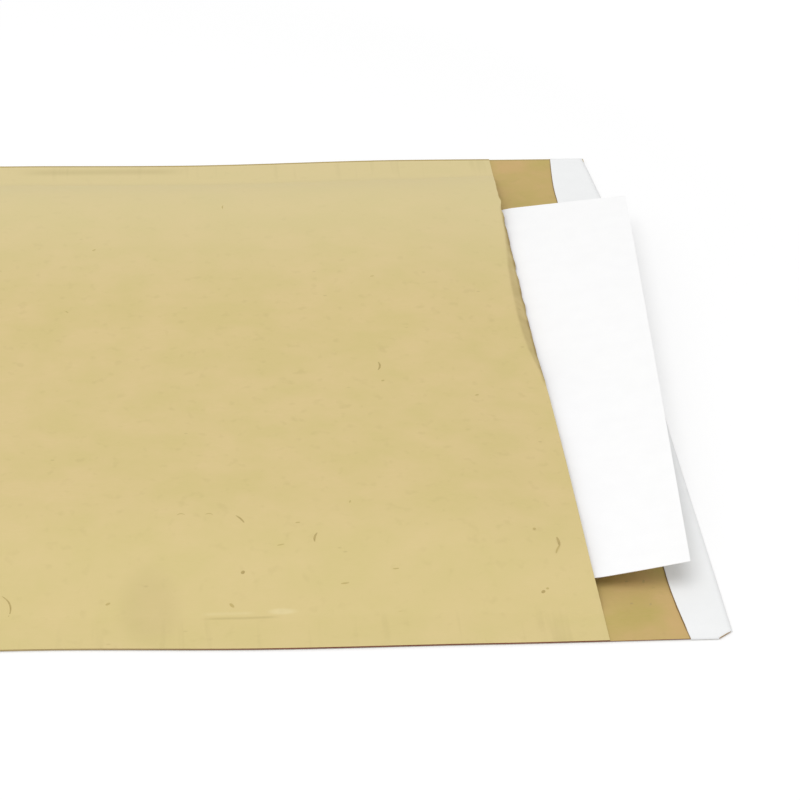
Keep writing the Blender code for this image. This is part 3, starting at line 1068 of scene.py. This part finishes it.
class MAILER_OT_set_stage(bpy.types.Operator):
    """Sets a plain white floor, soft light from all round and the camera at the photograph's angle"""

    bl_idname = "mailer.set_stage"
    bl_label = "Set the stage"

    def execute(self, context):
        sizes = context.scene.mailer_stage
        scene = context.scene
        scene.view_settings.view_transform = "Standard"

        made = bmesh.new()
        bmesh.ops.create_grid(made, x_segments=1, y_segments=1, size=6.0)
        bmesh.ops.translate(made, verts=made.verts, vec=(0.0, 0.0, FLOOR_Z))
        floor = finish_mesh("studio_floor", made)
        floor.data.materials.append(sweep_finish("white_paper_sweep", "#D9D9D9"))

        world = bpy.data.worlds.new("even_daylight")
        scene.world = world
        world.use_nodes = True
        tree = world.node_tree
        level = ramp(tree, seen_directly(tree), 0.0, 1.0, sizes.sky, 1.0)
        fill_inputs(tree, tree.nodes["Background"], {"Color": WHITE, "Strength": level})

        lamp = bpy.data.lights.new("soft_key", "AREA")
        lamp.shape = "DISK"
        lamp.size = KEY_SIZE
        lamp.energy = sizes.key
        key = bpy.data.objects.new("soft_key", lamp)
        key.location = KEY_PLACE
        key.rotation_euler = (-key.location).to_track_quat("-Z", "Y").to_euler()
        scene.collection.objects.link(key)

        lens = bpy.data.cameras.new("photo_camera")
        lens.lens = sizes.lens
        lens.sensor_width = 36.0
        lens.clip_start = 0.01
        lens.clip_end = 20.0
        camera = bpy.data.objects.new("photo_camera", lens)
        turned = Matrix((CAMERA_RIGHT, -CAMERA_DOWN, -CAMERA_FORWARD)).transposed().to_4x4()
        camera.matrix_world = Matrix.Translation(CAMERA_PLACE) @ turned
        scene.collection.objects.link(camera)
        scene.camera = camera
        return {"FINISHED"}


class MAILER_PT_envelope(bpy.types.Panel):
    """Lists the envelope's sizes, colours and steps"""

    bl_label = "Padded envelope"
    bl_idname = "MAILER_PT_envelope"
    bl_space_type = "VIEW_3D"
    bl_region_type = "UI"
    bl_category = "Envelope"

    def draw(self, context):
        layout = self.layout
        for group, steps in STEPS:
            box = layout.box()
            settings = getattr(context.scene, group)
            for name in settings.__annotations__:
                box.prop(settings, name)
            for step in steps:
                box.operator(step.bl_idname)


STEPS = (
    ("mailer_cover", (MAILER_OT_fold_cover, MAILER_OT_press_fibres)),
    ("mailer_lining", (MAILER_OT_fill_lining,)),
    ("mailer_closure", (MAILER_OT_lay_closure,)),
    ("mailer_letter", (MAILER_OT_slide_in_letter,)),
    ("mailer_stage", (MAILER_OT_set_stage,)),
)
GROUPS = {
    "mailer_cover": CoverSizes,
    "mailer_lining": LiningSizes,
    "mailer_closure": ClosureSizes,
    "mailer_letter": LetterSizes,
    "mailer_stage": StageSizes,
}
CLASSES = (*GROUPS.values(), *(step for group, steps in STEPS for step in steps), MAILER_PT_envelope)


def register():
    for part in CLASSES:
        bpy.utils.register_class(part)
    for name, group in GROUPS.items():
        setattr(bpy.types.Scene, name, bpy.props.PointerProperty(type=group))


def unregister():
    for name in GROUPS:
        delattr(bpy.types.Scene, name)
    for part in reversed(CLASSES):
        bpy.utils.unregister_class(part)


def main():
    register()
    bpy.ops.mailer.set_stage()
    bpy.ops.mailer.fold_cover()
    bpy.ops.mailer.press_fibres()
    bpy.ops.mailer.fill_lining()
    bpy.ops.mailer.lay_closure()
    bpy.ops.mailer.slide_in_letter()


if __name__ == "__main__":
    main()
